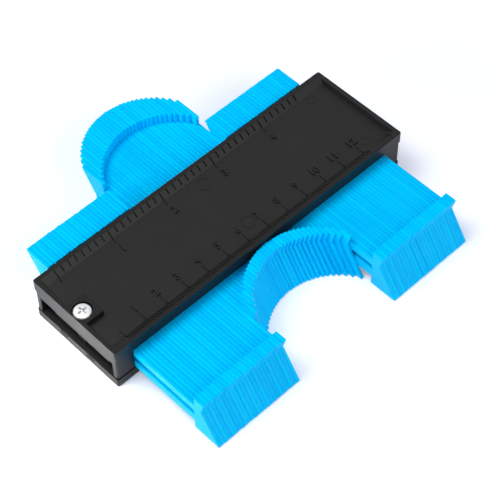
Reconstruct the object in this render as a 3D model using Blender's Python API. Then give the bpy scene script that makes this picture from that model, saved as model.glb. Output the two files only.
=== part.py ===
"""Contour gauge: a stack of thin ABS leaves that slide through a two-part ABS housing with a ruler on its top.

Frame: X runs along the housing, -Y is the side with the centimetre scale, +Z is up.
The origin is at the middle of the housing's underside. All sizes below are in millimetres.
"""
import math

import bmesh
import bpy
from mathutils import Matrix, Vector

MM = 0.001

# Leaf stack
LEAF_COUNT = 81
LEAF_THICKNESS = 1.283
LEAF_GAP = 0.30
BLOCK_LEAVES = 25
LEAF_GROUPS_PER_BLOCK = 11

# Leaf outline, the same at both ends when turned half a turn about X
LEAF_UNDERSIDE = 0.3
BAR_LENGTH = 76.8
SLOT_HEIGHT = 2.5
HEAD_LENGTH = 12.2
CAP_LENGTH = 4.8
CAP_EDGE = 1.1
NOTCH_LENGTH = 3.6
NOTCH_DROP = 5.4
TIP_EDGE = 0.35

# Profile that the leaves hold: two straight blocks near their front stop and a round arc near its rear stop
BLOCK_STOP_GAP = 1.9
ARC_STOP_GAP = 0.4
ARC_RADIUS = 26.5

# Housing
HOUSING_WIDTH = 44.4
HOUSING_HEIGHT = 21.0
END_BLOCK = 8.24
BASE_THICKNESS = 4.2
CORNER_RADIUS = 0.8
LIP_HEIGHT = 5.2
LIP_PROUD = 0.3
PANEL_DEPTH = 2.1
RIM_LAND = 1.7
RIM_FOOT = 4.6
END_LAND = 1.6
END_FOOT = 2.6
ROOF_THICKNESS = 2.0
RAIL_DEPTH = 2.2
RAIL_COUNT = 5
RAIL_WIDTH = 2.4
END_WALL = 2.0
PARTITION = 1.6
FLOOR_THICKNESS = 1.8
FOOT_CHAMFER = 0.4

# End window and the chamber behind it
SIDE_WALL = 2.7
WINDOW_LINTEL = 2.3
WINDOW_STEP = 0.7
WINDOW_FRONT_STEP_LENGTH = 1.5
WINDOW_REAR_STEP_LENGTH = 8.2
LATCH_SLOT_LENGTH = 4.0
LATCH_SLOT_HEIGHT = 0.6
LATCH_SLOT_DEPTH = 1.2
LATCH_SLOT_DROP = 1.2
LATCH_SLOT_SPREAD = 14.6

# Ruler: eighths of an inch cut into the rear slope, millimetres into the front one
INCH = 25.4
EIGHTH = INCH / 8
INCH_SCALE_START = 8.18
CENTIMETRE_SCALE_START = 8.78
SCALE_END_MARGIN = 15.0
GROOVE_DEPTH = 0.3
EIGHTH_GROOVE_WIDTH = 0.42
EIGHTH_GROOVE_REACH = 0.72
INCH_GROOVE_REACH = 0.97
MILLIMETRE_GROOVE_WIDTH = 0.4
MILLIMETRE_GROOVE_START = 0.07
MILLIMETRE_GROOVE_REACH = 0.93
SCALE_LINE_WIDTH = 0.3
SCALE_LINE_HEIGHT = 0.2
CENTIMETRE_LINE_LENGTH = 3.8
INCH_LINE_LENGTH = 2.1

# Tension screw, its nut and its boss
SCREW_INSET = 4.35
SCREW_HEAD_DIAMETER = 6.9
SCREW_HEAD_HEIGHT = 1.9
SCREW_HEAD_SINK = 0.2
SCREW_SHANK_DIAMETER = 3.0
SCREW_TIP_LEVEL = 0.6
PAN_FLAT_SHARE = 0.6
PAN_EDGE_SHARE = 0.45
RECESS_ARM = 2.0
RECESS_WIDTH = 0.8
RECESS_DEPTH = 1.1
COUNTERBORE_CLEARANCE = 0.45
PAD_LENGTH = 9.6
PAD_WIDTH = 10.8
BOSS_DIAMETER = 5.8
NUT_ACROSS_FLATS = 5.5
NUT_THICKNESS = 2.3

# Base screws at the closed end
BASE_SCREW_INSET = 7.7
BASE_SCREW_HEAD_DIAMETER = 5.2
BASE_SCREW_FLAT_SHARE = 0.8
BASE_SCREW_HEAD_HEIGHT = 1.5
BASE_SCREW_SHANK_DIAMETER = 2.5
BASE_SCREW_LENGTH = 11.0
BASE_BOSS_DIAMETER = 5.6

# Guide bar
GUIDE_BAR_WIDTH = 10.0
GUIDE_BAR_SEAT = 1.3

# Clearance between pieces that touch or slide
GAP = 0.3

# Sizes worked out from the values above
PITCH = LEAF_THICKNESS + LEAF_GAP
STACK_LENGTH = LEAF_COUNT * PITCH - LEAF_GAP
PASSAGE_LENGTH = STACK_LENGTH + 2 * GAP
HOUSING_LENGTH = PASSAGE_LENGTH + 2 * END_BLOCK
HALF_LENGTH = HOUSING_LENGTH / 2
HALF_WIDTH = HOUSING_WIDTH / 2
PANEL_LEVEL = HOUSING_HEIGHT - PANEL_DEPTH
ROOF_UNDERSIDE = PANEL_LEVEL - ROOF_THICKNESS
PASSAGE_TOP = ROOF_UNDERSIDE - RAIL_DEPTH
COVER_BOTTOM = BASE_THICKNESS + GAP
WINDOW_TOP = PASSAGE_TOP - WINDOW_LINTEL
LATCH_SLOT_LEVEL = BASE_THICKNESS - LATCH_SLOT_DROP
BAR_SPREAD = PASSAGE_TOP - BASE_THICKNESS - 2 * GAP
LEAF_CENTRE = BASE_THICKNESS + GAP + BAR_SPREAD / 2
LEAF_HEIGHT = 2 * (LEAF_CENTRE - LEAF_UNDERSIDE)
HALF_TRAVEL = BAR_LENGTH / 2 - HALF_WIDTH
BLOCK_SHIFT = BLOCK_STOP_GAP - HALF_TRAVEL
ARC_SHIFT = HALF_TRAVEL - ARC_STOP_GAP
GUIDE_BAR_THICKNESS = SLOT_HEIGHT - 2 * GAP
GUIDE_BAR_HALF_LENGTH = PASSAGE_LENGTH / 2 + GUIDE_BAR_SEAT
SCREW_X = -HALF_LENGTH + SCREW_INSET
SCREW_HEAD_TOP = HOUSING_HEIGHT - SCREW_HEAD_SINK
SCREW_HEAD_BASE = SCREW_HEAD_TOP - SCREW_HEAD_HEIGHT
BASE_SCREW_X = HALF_LENGTH - END_BLOCK / 2
BASE_SCREW_Y = HALF_WIDTH - BASE_SCREW_INSET
CLEAR = 5.0
ROUND_SEGMENTS = 32


def material(name, colour, roughness, metallic=0.0):
    """A Principled BSDF with one colour, given as linear RGB."""
    made = bpy.data.materials.new(name)
    made.use_nodes = True
    shader = made.node_tree.nodes["Principled BSDF"]
    shader.inputs["Base Color"].default_value = (*colour, 1.0)
    shader.inputs["Roughness"].default_value = roughness
    shader.inputs["Metallic"].default_value = metallic
    return made


def add_object(name, bm, finish=None, origin=(0, 0, 0)):
    """Turns a bmesh in millimetres into an object whose origin is at the given point."""
    bmesh.ops.translate(bm, verts=bm.verts, vec=-Vector(origin))
    bmesh.ops.scale(bm, verts=bm.verts, vec=(MM, MM, MM))
    bmesh.ops.recalc_face_normals(bm, faces=bm.faces)
    mesh = bpy.data.meshes.new(name)
    bm.to_mesh(mesh)
    bm.free()
    made = bpy.data.objects.new(name, mesh)
    made.location = Vector(origin) * MM
    bpy.context.collection.objects.link(made)
    if finish:
        mesh.materials.append(finish)
    return made


def cutter(name, bm):
    """A guide solid that only shapes other pieces."""
    made = add_object(name, bm)
    made.hide_render = True
    made.display_type = "WIRE"
    return made


def combine(target, tool, operation="DIFFERENCE"):
    """Adds a Boolean to the target."""
    step = target.modifiers.new(tool.name, "BOOLEAN")
    step.operation = operation
    step.solver = "EXACT"
    step.object = tool


def add_box(bm, low, high):
    """Adds a box between two corners."""
    size = Vector(high) - Vector(low)
    middle = (Vector(high) + Vector(low)) / 2
    place = Matrix.Translation(middle) @ Matrix.Diagonal((*size, 1.0))
    bmesh.ops.create_cube(bm, size=1.0, matrix=place)


def add_cylinder(bm, centre, diameter, bottom, top, segments=ROUND_SEGMENTS):
    """Adds an upright cylinder."""
    place = Matrix.Translation((centre[0], centre[1], (bottom + top) / 2))
    bmesh.ops.create_cone(bm, cap_ends=True, segments=segments, radius1=diameter / 2, radius2=diameter / 2,
                          depth=top - bottom, matrix=place)


def box_cutter(name, low, high):
    """A guide box."""
    bm = bmesh.new()
    add_box(bm, low, high)
    return cutter(name, bm)


def rounded_ring(bm, half_x, half_y, radius, level, steps=3):
    """Adds the vertices of one level rectangle with round corners."""
    ring = []
    for corner in range(4):
        start = corner * math.pi / 2
        centre_x = (half_x - radius) * (1 if corner in (0, 3) else -1)
        centre_y = (half_y - radius) * (1 if corner in (0, 1) else -1)
        for step in range(steps + 1):
            angle = start + step / steps * math.pi / 2
            place = (centre_x + radius * math.cos(angle), centre_y + radius * math.sin(angle), level)
            ring.append(bm.verts.new(place))
    return ring


def loft(bm, rings):
    """Joins rings of equal count in order and closes both ends."""
    for lower, upper in zip(rings, rings[1:]):
        count = len(lower)
        for index in range(count):
            after = (index + 1) % count
            bm.faces.new((lower[index], lower[after], upper[after], upper[index]))
    bm.faces.new(rings[0])
    bm.faces.new(rings[-1])


def turned(bm, profile, centre, segments=ROUND_SEGMENTS):
    """Spins a profile of (radius, level) points, which starts and ends on the axis, about an upright axis."""
    points = [bm.verts.new((centre[0] + radius, centre[1], level)) for radius, level in profile]
    edges = [bm.edges.new(pair) for pair in zip(points, points[1:])]
    bmesh.ops.spin(bm, geom=points + edges, cent=(centre[0], centre[1], 0), axis=(0, 0, 1), angle=2 * math.pi,
                   steps=segments, use_merge=True)
    bmesh.ops.remove_doubles(bm, verts=bm.verts, dist=0.001)


def smooth(made, degrees=40):
    """Shades round faces smooth and keeps the edges sharp."""
    made.data.shade_smooth()
    made.data.set_sharp_from_angle(angle=math.radians(degrees))


def rail_pockets():
    """The Y ranges between the long rails that the leaf bars slide on, the same in both shells."""
    pitch = (HOUSING_WIDTH - RAIL_WIDTH) / (RAIL_COUNT - 1)
    for index in range(RAIL_COUNT - 1):
        start = -HALF_WIDTH + RAIL_WIDTH + index * pitch
        yield start, start + pitch - RAIL_WIDTH


def base_screw_places():
    """The centres of the two base screws."""
    for side in (-1, 1):
        yield BASE_SCREW_X, side * BASE_SCREW_Y


def scale_marks(start, pitch):
    """The X of each mark of a scale, from its zero at a distance from the window end."""
    count = int((HOUSING_LENGTH - start - SCALE_END_MARGIN) / pitch)
    for index in range(count + 1):
        yield index, -HALF_LENGTH + start + index * pitch


def add_slope_groove(bm, across, side, width, start, reach):
    """Adds the block that cuts one groove down a rim slope. Start and reach are shares of the slope from its top."""
    top = Vector((across, side * (HALF_WIDTH - RIM_LAND), HOUSING_HEIGHT))
    foot = Vector((across, side * (HALF_WIDTH - RIM_FOOT), PANEL_LEVEL))
    high, low = top.lerp(foot, start), top.lerp(foot, reach)
    tilt = math.atan2(low.z - high.z, low.y - high.y)
    place = Matrix.Translation((high + low) / 2) @ Matrix.Rotation(tilt, 4, "X")
    place @= Matrix.Diagonal((width, (low - high).length, 2 * GROOVE_DEPTH, 1.0))
    bmesh.ops.create_cube(bm, size=1.0, matrix=place)


def add_scale_line(bm, across, side, length):
    """Adds a raised line on the panel that runs inwards from the foot of a rim slope."""
    foot = HALF_WIDTH - RIM_FOOT
    near, far = sorted((side * (foot + SCALE_LINE_WIDTH), side * (foot - length)))
    add_box(bm, (across - SCALE_LINE_WIDTH / 2, near, PANEL_LEVEL - ROOF_THICKNESS / 2),
            (across + SCALE_LINE_WIDTH / 2, far, PANEL_LEVEL + SCALE_LINE_HEIGHT))


def add_ruler(cover):
    """Raises the long marks on the panel and cuts both scales into the rim slopes."""
    lines = bmesh.new()
    grooves = bmesh.new()
    for index, across in scale_marks(INCH_SCALE_START, EIGHTH):
        whole = index % 8 == 0
        reach = INCH_GROOVE_REACH if whole else EIGHTH_GROOVE_REACH
        add_slope_groove(grooves, across, 1, EIGHTH_GROOVE_WIDTH, MILLIMETRE_GROOVE_START, reach)
        if whole and index:
            add_scale_line(lines, across, 1, INCH_LINE_LENGTH)
    for index, across in scale_marks(CENTIMETRE_SCALE_START, 1):
        add_slope_groove(grooves, across, -1, MILLIMETRE_GROOVE_WIDTH, MILLIMETRE_GROOVE_START,
                         MILLIMETRE_GROOVE_REACH)
        if index % 10 == 0:
            add_scale_line(lines, across, -1, CENTIMETRE_LINE_LENGTH)
    combine(cover, cutter("guide_scale_lines", lines), "UNION")
    combine(cover, cutter("guide_scale_grooves", grooves))


def make_upper_cover(finish):
    """The cover: outer walls, sunk ruler panel, leaf passage, end chambers, window and screw pad."""
    bm = bmesh.new()
    lip_level = HOUSING_HEIGHT - LIP_HEIGHT
    wall_x = HALF_LENGTH - LIP_PROUD
    wall_y = HALF_WIDTH - LIP_PROUD
    rings = [
        rounded_ring(bm, wall_x, wall_y, CORNER_RADIUS, COVER_BOTTOM),
        rounded_ring(bm, wall_x, wall_y, CORNER_RADIUS, lip_level),
        rounded_ring(bm, HALF_LENGTH, HALF_WIDTH, CORNER_RADIUS, lip_level),
        rounded_ring(bm, HALF_LENGTH, HALF_WIDTH, CORNER_RADIUS, HOUSING_HEIGHT),
        rounded_ring(bm, HALF_LENGTH - END_LAND, HALF_WIDTH - RIM_LAND, CORNER_RADIUS / 2, HOUSING_HEIGHT),
        rounded_ring(bm, HALF_LENGTH - END_FOOT, HALF_WIDTH - RIM_FOOT, CORNER_RADIUS / 2, PANEL_LEVEL),
    ]
    loft(bm, rings)
    cover = add_object("upper_cover", bm, finish)

    pad = box_cutter("guide_screw_pad", (-HALF_LENGTH + END_LAND / 2, -PAD_WIDTH / 2, PANEL_LEVEL - ROOF_THICKNESS / 2),
                     (-HALF_LENGTH + PAD_LENGTH, PAD_WIDTH / 2, HOUSING_HEIGHT))
    combine(cover, pad, "UNION")
    add_ruler(cover)

    half_passage = PASSAGE_LENGTH / 2
    passage = box_cutter("guide_leaf_passage", (-half_passage, -HALF_WIDTH - CLEAR, COVER_BOTTOM - CLEAR),
                         (half_passage, HALF_WIDTH + CLEAR, PASSAGE_TOP))
    combine(cover, passage)

    bm = bmesh.new()
    for start, end in rail_pockets():
        add_box(bm, (-half_passage + PARTITION, start, PASSAGE_TOP - GAP),
                (half_passage - PARTITION, end, ROOF_UNDERSIDE))
    combine(cover, cutter("guide_roof_pockets", bm))

    chamber_start = HALF_LENGTH - END_WALL
    chamber_end = half_passage + PARTITION
    for side, name in ((-1, "guide_open_chamber"), (1, "guide_closed_chamber")):
        near, far = sorted((side * chamber_start, side * chamber_end))
        chamber = box_cutter(name, (near, -HALF_WIDTH + SIDE_WALL, COVER_BOTTOM - CLEAR),
                             (far, HALF_WIDTH - SIDE_WALL, PASSAGE_TOP))
        bm = bmesh.new()
        if side < 0:
            add_cylinder(bm, (SCREW_X, 0), BOSS_DIAMETER, COVER_BOTTOM, ROOF_UNDERSIDE)
        else:
            for place in base_screw_places():
                add_cylinder(bm, place, BASE_BOSS_DIAMETER, COVER_BOTTOM, ROOF_UNDERSIDE)
        bosses = cutter(name + "_bosses", bm)
        combine(chamber, bosses)
        combine(cover, chamber)

    bm = bmesh.new()
    window_half = HALF_WIDTH - SIDE_WALL
    add_box(bm, (-HALF_LENGTH - CLEAR, -window_half, COVER_BOTTOM - CLEAR),
            (-HALF_LENGTH + END_WALL + GAP, window_half, WINDOW_TOP - WINDOW_STEP))
    combine(cover, cutter("guide_window", bm))
    for name, start, end in (("guide_window_front", -window_half, -window_half + WINDOW_FRONT_STEP_LENGTH),
                             ("guide_window_rear", window_half - WINDOW_REAR_STEP_LENGTH, window_half)):
        combine(cover, box_cutter(name, (-HALF_LENGTH - CLEAR, start, COVER_BOTTOM - CLEAR),
                                  (-HALF_LENGTH + END_WALL + GAP, end, WINDOW_TOP)))

    bm = bmesh.new()
    notch_half = GUIDE_BAR_WIDTH / 2 + GAP
    notch_top = LEAF_CENTRE + GUIDE_BAR_THICKNESS / 2 + GAP
    for side in (-1, 1):
        near, far = sorted((side * (half_passage - GAP), side * (half_passage + PARTITION)))
        add_box(bm, (near, -notch_half, COVER_BOTTOM - CLEAR), (far, notch_half, notch_top))
    combine(cover, cutter("guide_bar_notches", bm))

    bm = bmesh.new()
    add_cylinder(bm, (SCREW_X, 0), SCREW_HEAD_DIAMETER + 2 * COUNTERBORE_CLEARANCE, SCREW_HEAD_BASE - GAP,
                 HOUSING_HEIGHT + CLEAR)
    combine(cover, cutter("guide_counterbore", bm))
    bm = bmesh.new()
    add_cylinder(bm, (SCREW_X, 0), SCREW_SHANK_DIAMETER + 2 * GAP, COVER_BOTTOM - CLEAR, HOUSING_HEIGHT)
    for place in base_screw_places():
        add_cylinder(bm, place, BASE_SCREW_SHANK_DIAMETER + 2 * GAP, COVER_BOTTOM - CLEAR,
                     BASE_SCREW_LENGTH + 2 * GAP)
    combine(cover, cutter("guide_cover_holes", bm))
    return cover


def make_base_plate(finish):
    """The base: rails under the leaf bars, saddles under the guide bar, nut pocket and screw holes."""
    bm = bmesh.new()
    rings = [
        rounded_ring(bm, HALF_LENGTH - FOOT_CHAMFER, HALF_WIDTH - FOOT_CHAMFER, CORNER_RADIUS, 0),
        rounded_ring(bm, HALF_LENGTH, HALF_WIDTH, CORNER_RADIUS, FOOT_CHAMFER),
        rounded_ring(bm, HALF_LENGTH, HALF_WIDTH, CORNER_RADIUS, BASE_THICKNESS),
    ]
    loft(bm, rings)
    base = add_object("base_plate", bm, finish)

    half_passage = PASSAGE_LENGTH / 2
    bm = bmesh.new()
    for side in (-1, 1):
        near, far = sorted((side * (half_passage + GAP / 2), side * (half_passage + PARTITION - GAP)))
        add_box(bm, (near, -GUIDE_BAR_WIDTH / 2, FLOOR_THICKNESS),
                (far, GUIDE_BAR_WIDTH / 2, LEAF_CENTRE - GUIDE_BAR_THICKNESS / 2 - GAP))
    combine(base, cutter("guide_saddles", bm), "UNION")

    bm = bmesh.new()
    for start, end in rail_pockets():
        add_box(bm, (-half_passage + PARTITION, start, FLOOR_THICKNESS),
                (half_passage - PARTITION, end, BASE_THICKNESS + CLEAR))
    combine(base, cutter("guide_base_pockets", bm))

    bm = bmesh.new()
    add_cylinder(bm, (SCREW_X, 0), (NUT_ACROSS_FLATS + 2 * GAP) / math.cos(math.pi / 6), -CLEAR,
                 NUT_THICKNESS + 2 * GAP, segments=6)
    for place in base_screw_places():
        add_cylinder(bm, place, BASE_SCREW_HEAD_DIAMETER + 2 * GAP, -CLEAR, BASE_SCREW_HEAD_HEIGHT + 2 * GAP)
    combine(base, cutter("guide_base_pockets_below", bm))
    bm = bmesh.new()
    add_cylinder(bm, (SCREW_X, 0), SCREW_SHANK_DIAMETER + 2 * GAP, -CLEAR, BASE_THICKNESS + CLEAR)
    for place in base_screw_places():
        add_cylinder(bm, place, BASE_SCREW_SHANK_DIAMETER + 2 * GAP, -CLEAR, BASE_THICKNESS + CLEAR)
    combine(base, cutter("guide_base_holes", bm))

    bm = bmesh.new()
    for side in (-1, 1):
        centre = side * LATCH_SLOT_SPREAD / 2
        add_box(bm, (-HALF_LENGTH - CLEAR, centre - LATCH_SLOT_LENGTH / 2, LATCH_SLOT_LEVEL - LATCH_SLOT_HEIGHT / 2),
                (-HALF_LENGTH + LATCH_SLOT_DEPTH, centre + LATCH_SLOT_LENGTH / 2,
                 LATCH_SLOT_LEVEL + LATCH_SLOT_HEIGHT / 2))
    combine(base, cutter("guide_latch_slots", bm))
    return base


def make_guide_bar(finish):
    """The flat bar that runs through the slots of all the leaves."""
    bm = bmesh.new()
    add_box(bm, (-GUIDE_BAR_HALF_LENGTH, -GUIDE_BAR_WIDTH / 2, LEAF_CENTRE - GUIDE_BAR_THICKNESS / 2),
            (GUIDE_BAR_HALF_LENGTH, GUIDE_BAR_WIDTH / 2, LEAF_CENTRE + GUIDE_BAR_THICKNESS / 2))
    return add_object("guide_bar", bm, finish)


def pan_head(radius, bottom, top):
    """Points of a pan head's edge from its underside to its flat top."""
    height = top - bottom
    steps = 4
    rise = [(math.cos(step / steps * math.pi / 2), math.sin(step / steps * math.pi / 2)) for step in range(steps + 1)]
    flat = radius * PAN_FLAT_SHARE
    edge = bottom + height * PAN_EDGE_SHARE
    return [(flat + (radius - flat) * along, edge + (top - edge) * up) for along, up in rise]


def make_tension_screw(finish):
    """The screw with a cross recess that draws the cover down on the leaves."""
    bm = bmesh.new()
    radius = SCREW_HEAD_DIAMETER / 2
    shank = SCREW_SHANK_DIAMETER / 2
    profile = [(0, SCREW_TIP_LEVEL), (shank, SCREW_TIP_LEVEL), (shank, SCREW_HEAD_BASE), (radius, SCREW_HEAD_BASE)]
    profile += pan_head(radius, SCREW_HEAD_BASE, SCREW_HEAD_TOP) + [(0, SCREW_HEAD_TOP)]
    turned(bm, profile, (SCREW_X, 0))
    screw = add_object("tension_screw", bm, finish, (SCREW_X, 0, SCREW_HEAD_TOP))
    smooth(screw)
    for name, half_x, half_y in (("guide_recess_along", RECESS_ARM, RECESS_WIDTH / 2),
                                 ("guide_recess_across", RECESS_WIDTH / 2, RECESS_ARM)):
        arm = box_cutter(name, (SCREW_X - half_x, -half_y, SCREW_HEAD_TOP - RECESS_DEPTH),
                         (SCREW_X + half_x, half_y, SCREW_HEAD_TOP + CLEAR))
        combine(screw, arm)
    return screw


def make_tension_nut(finish):
    """The nut under the base that the tension screw pulls on."""
    bm = bmesh.new()
    add_cylinder(bm, (SCREW_X, 0), NUT_ACROSS_FLATS / math.cos(math.pi / 6), GAP, GAP + NUT_THICKNESS, segments=6)
    nut = add_object("tension_nut", bm, finish, (SCREW_X, 0, 0))
    bm = bmesh.new()
    add_cylinder(bm, (SCREW_X, 0), SCREW_SHANK_DIAMETER + 2 * GAP, -CLEAR, NUT_THICKNESS + CLEAR)
    combine(nut, cutter("guide_nut_hole", bm))
    return nut


def make_base_screws(finish):
    """The two self-tapping screws that hold the base to the cover at the closed end."""
    radius = BASE_SCREW_HEAD_DIAMETER / 2
    shank = BASE_SCREW_SHANK_DIAMETER / 2
    head_top = GAP + BASE_SCREW_HEAD_HEIGHT
    for name, place in zip(("base_screw_front", "base_screw_rear"), base_screw_places()):
        bm = bmesh.new()
        profile = [(0, GAP), (radius * BASE_SCREW_FLAT_SHARE, GAP), (radius, GAP + BASE_SCREW_HEAD_HEIGHT / 2),
                   (radius, head_top), (shank, head_top), (shank, BASE_SCREW_LENGTH - shank), (0, BASE_SCREW_LENGTH)]
        turned(bm, profile, place, segments=20)
        smooth(add_object(name, bm, finish, (*place, 0)))


def leaf_loops():
    """A leaf's outer loop and slot loop as (Y, Z) points about its middle. The rear half is the front one turned."""
    half = LEAF_HEIGHT / 2
    front = [(0, BAR_SPREAD / 2), (0, half), (CAP_LENGTH, half), (CAP_LENGTH, half - CAP_EDGE),
             (NOTCH_LENGTH, half - NOTCH_DROP), (HEAD_LENGTH, TIP_EDGE - half), (HEAD_LENGTH, -half), (0, -half),
             (0, -BAR_SPREAD / 2)]
    front = [(-BAR_LENGTH / 2 - out, up) for out, up in front]
    outer = front + [(-across, -up) for across, up in front]
    slot = [(-BAR_LENGTH / 2, -SLOT_HEIGHT / 2), (-BAR_LENGTH / 2, SLOT_HEIGHT / 2)]
    slot += [(-across, -up) for across, up in slot]
    return outer, slot


def moved_in(loop, depth):
    """Moves each side of a loop to its left, into the leaf, by the depth."""
    sides = []
    for start, end in zip(loop, loop[1:] + loop[:1]):
        along = (Vector(end) - Vector(start)).normalized()
        sides.append((Vector(start) + Vector((-along.y, along.x)) * depth, along))
    moved = []
    for index in range(len(loop)):
        (start, along), (other, other_along) = sides[index - 1], sides[index]
        cross = along.x * other_along.y - along.y * other_along.x
        offset = other - start
        reach = (offset.x * other_along.y - offset.y * other_along.x) / cross if abs(cross) > 1e-6 else 0
        moved.append(start + along * reach if abs(cross) > 1e-6 else other)
    return moved


def add_leaves(bm, start_x, count, shift):
    """Adds leaves pressed together in one solid, with a groove as wide as the leaf gap between neighbours."""
    sections = [(start_x, 0)]
    for index in range(count):
        edge = start_x + index * PITCH
        if index:
            sections += [(edge - LEAF_GAP / 2, LEAF_GAP), (edge, 0)]
        sections.append((edge + LEAF_THICKNESS, 0))
    outer, slot = leaf_loops()
    rows = []
    for across, depth in sections:
        row = [[bm.verts.new((across, y + shift, z + LEAF_CENTRE)) for y, z in moved_in(loop, depth)]
               for loop in (outer, slot)]
        rows.append(row)
    for row, after in zip(rows, rows[1:]):
        for loop, next_loop in zip(row, after):
            for index in range(len(loop)):
                bm.faces.new((loop[index - 1], loop[index], next_loop[index], next_loop[index - 1]))
    half = len(outer) // 2
    for (ring, (front_low, front_high, rear_high, rear_low)) in (rows[0], rows[-1]):
        front, rear = ring[:half], ring[half:]
        bm.faces.new(front + [front_low, front_high])
        bm.faces.new(rear + [rear_high, rear_low])
        bm.faces.new((front[0], front_high, rear_high, rear[-1]))
        bm.faces.new((front[-1], rear[0], rear_low, front_low))


def leaf_start(index):
    """The X of a leaf's left face."""
    return -STACK_LENGTH / 2 + index * PITCH


def leaf_shift(index):
    """How far a leaf stands from the middle of its travel: level in the blocks, on a circle between them."""
    across = leaf_start(index) + LEAF_THICKNESS / 2
    in_block = index < BLOCK_LEAVES or index >= LEAF_COUNT - BLOCK_LEAVES
    if in_block or abs(across) >= ARC_RADIUS:
        return BLOCK_SHIFT
    return max(BLOCK_SHIFT, ARC_SHIFT - ARC_RADIUS + math.sqrt(ARC_RADIUS ** 2 - across ** 2))


def leaf_groups():
    """Each leaf of the arc stands alone. Those of a straight block are pressed together in twos and threes."""
    blocks = []
    for group in range(LEAF_GROUPS_PER_BLOCK):
        start = group * BLOCK_LEAVES // LEAF_GROUPS_PER_BLOCK
        end = (group + 1) * BLOCK_LEAVES // LEAF_GROUPS_PER_BLOCK
        blocks.append(range(start, end))
    arc = [range(index, index + 1) for index in range(BLOCK_LEAVES, LEAF_COUNT - BLOCK_LEAVES)]
    mirrored = [range(LEAF_COUNT - block.stop, LEAF_COUNT - block.start) for block in reversed(blocks)]
    return blocks + arc + mirrored


def make_leaves(finish):
    """Every leaf in its place on the profile."""
    for group in leaf_groups():
        bm = bmesh.new()
        start, shift = leaf_start(group[0]), leaf_shift(group[0])
        add_leaves(bm, start, len(group), shift)
        first, last = group[0] + 1, group[-1] + 1
        name = f"leaf_{first:02d}" if first == last else f"leaves_{first:02d}_to_{last:02d}"
        add_object(name, bm, finish, (start, shift, LEAF_CENTRE))


def main():
    for old in list(bpy.data.objects):
        bpy.data.objects.remove(old, do_unlink=True)
    black_abs = material("black_abs", (0.022, 0.022, 0.021), 0.45)
    cyan_abs = material("cyan_abs", (0.0, 0.58, 1.0), 0.4)
    steel = material("plated_steel", (0.78, 0.78, 0.76), 0.25, 1.0)
    make_upper_cover(black_abs)
    make_base_plate(black_abs)
    make_guide_bar(steel)
    make_tension_screw(steel)
    make_tension_nut(steel)
    make_base_screws(steel)
    make_leaves(cyan_abs)


main()
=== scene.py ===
"""Looks of the contour gauge: ABS shells with a raised ruler, thin sliding ABS leaves and plated screws.

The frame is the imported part's: X runs along the housing, -Y is the side with the centimetre scale, +Z is up.
The gauge's sizes are in millimetres, and every piece is turned to metres when its mesh is made.
"""
import math
import random

import bmesh
import bpy
from mathutils import Matrix, Vector


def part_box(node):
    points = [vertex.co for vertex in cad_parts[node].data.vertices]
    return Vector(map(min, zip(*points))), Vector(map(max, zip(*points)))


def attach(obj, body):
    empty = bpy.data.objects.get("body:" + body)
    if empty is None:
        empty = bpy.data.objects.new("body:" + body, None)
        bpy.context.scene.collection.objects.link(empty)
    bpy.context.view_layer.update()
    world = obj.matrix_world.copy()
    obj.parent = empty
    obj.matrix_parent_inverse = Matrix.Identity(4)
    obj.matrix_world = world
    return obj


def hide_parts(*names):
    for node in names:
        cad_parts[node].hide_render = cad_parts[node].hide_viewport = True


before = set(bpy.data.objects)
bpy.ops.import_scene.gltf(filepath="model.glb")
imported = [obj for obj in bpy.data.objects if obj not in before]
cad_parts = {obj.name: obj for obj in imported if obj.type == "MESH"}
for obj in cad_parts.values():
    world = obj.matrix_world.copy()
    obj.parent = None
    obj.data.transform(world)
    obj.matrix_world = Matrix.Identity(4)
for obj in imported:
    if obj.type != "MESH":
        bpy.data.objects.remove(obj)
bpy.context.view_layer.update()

MM = 0.001
# Room between two parts, and the difference at which two levels count as different
GAP = 0.3
# How far a cutting shape reaches past what it cuts
CLEAR = 5.0
# A face looks along an axis if its unit normal has more than this of it
SQUARE_ON = 0.9

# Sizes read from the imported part
cover_low, cover_high = (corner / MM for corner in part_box("upper_cover"))
leaf_low, leaf_high = (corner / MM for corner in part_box("leaf_41"))
next_leaf_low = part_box("leaf_42")[0] / MM
bar_low, bar_high = (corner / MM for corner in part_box("guide_bar"))
screw_low, screw_high = (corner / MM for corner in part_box("tension_screw"))
nut_low, nut_high = (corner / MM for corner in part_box("tension_nut"))
base_screw_low, base_screw_high = (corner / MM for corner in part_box("base_screw_rear"))
HALF_LENGTH = cover_high.x
HALF_WIDTH = cover_high.y
HOUSING_TOP = cover_high.z
COVER_BOTTOM = cover_low.z
BASE_TOP = COVER_BOTTOM - GAP
PITCH = next_leaf_low.x - leaf_low.x
LEAF_THICKNESS = leaf_high.x - leaf_low.x
LEAF_CENTRE = (leaf_low.z + leaf_high.z) / 2
LEAF_HALF_HEIGHT = (leaf_high.z - leaf_low.z) / 2
LEAF_HALF_LENGTH = (leaf_high.y - leaf_low.y) / 2
SCREW_X = (screw_low.x + screw_high.x) / 2
BASE_SCREW_X = (base_screw_low.x + base_screw_high.x) / 2
BASE_SCREW_Y = (base_screw_low.y + base_screw_high.y) / 2

# Cover
CORNER_RADIUS = 0.8
LIP_HEIGHT = 5.2
LIP_PROUD = 0.3
PANEL_DEPTH = 2.1
RIM_LAND = 1.7
FRONT_LAND = 1.3
RIM_FOOT = 4.6
END_LAND = 1.6
END_FOOT = 2.6
ROOF_THICKNESS = 2.0
RAIL_DEPTH = 2.2
RAIL_COUNT = 5
RAIL_WIDTH = 2.4
END_BLOCK = 8.24
END_WALL = 2.0
SIDE_WALL = 2.7
PARTITION = 1.6
WINDOW_LINTEL = 2.3
WINDOW_STEP = 0.7
WINDOW_FRONT_STEP = 1.5
WINDOW_REAR_STEP = 8.2
MOUTH_FLARE = 0.25
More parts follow.
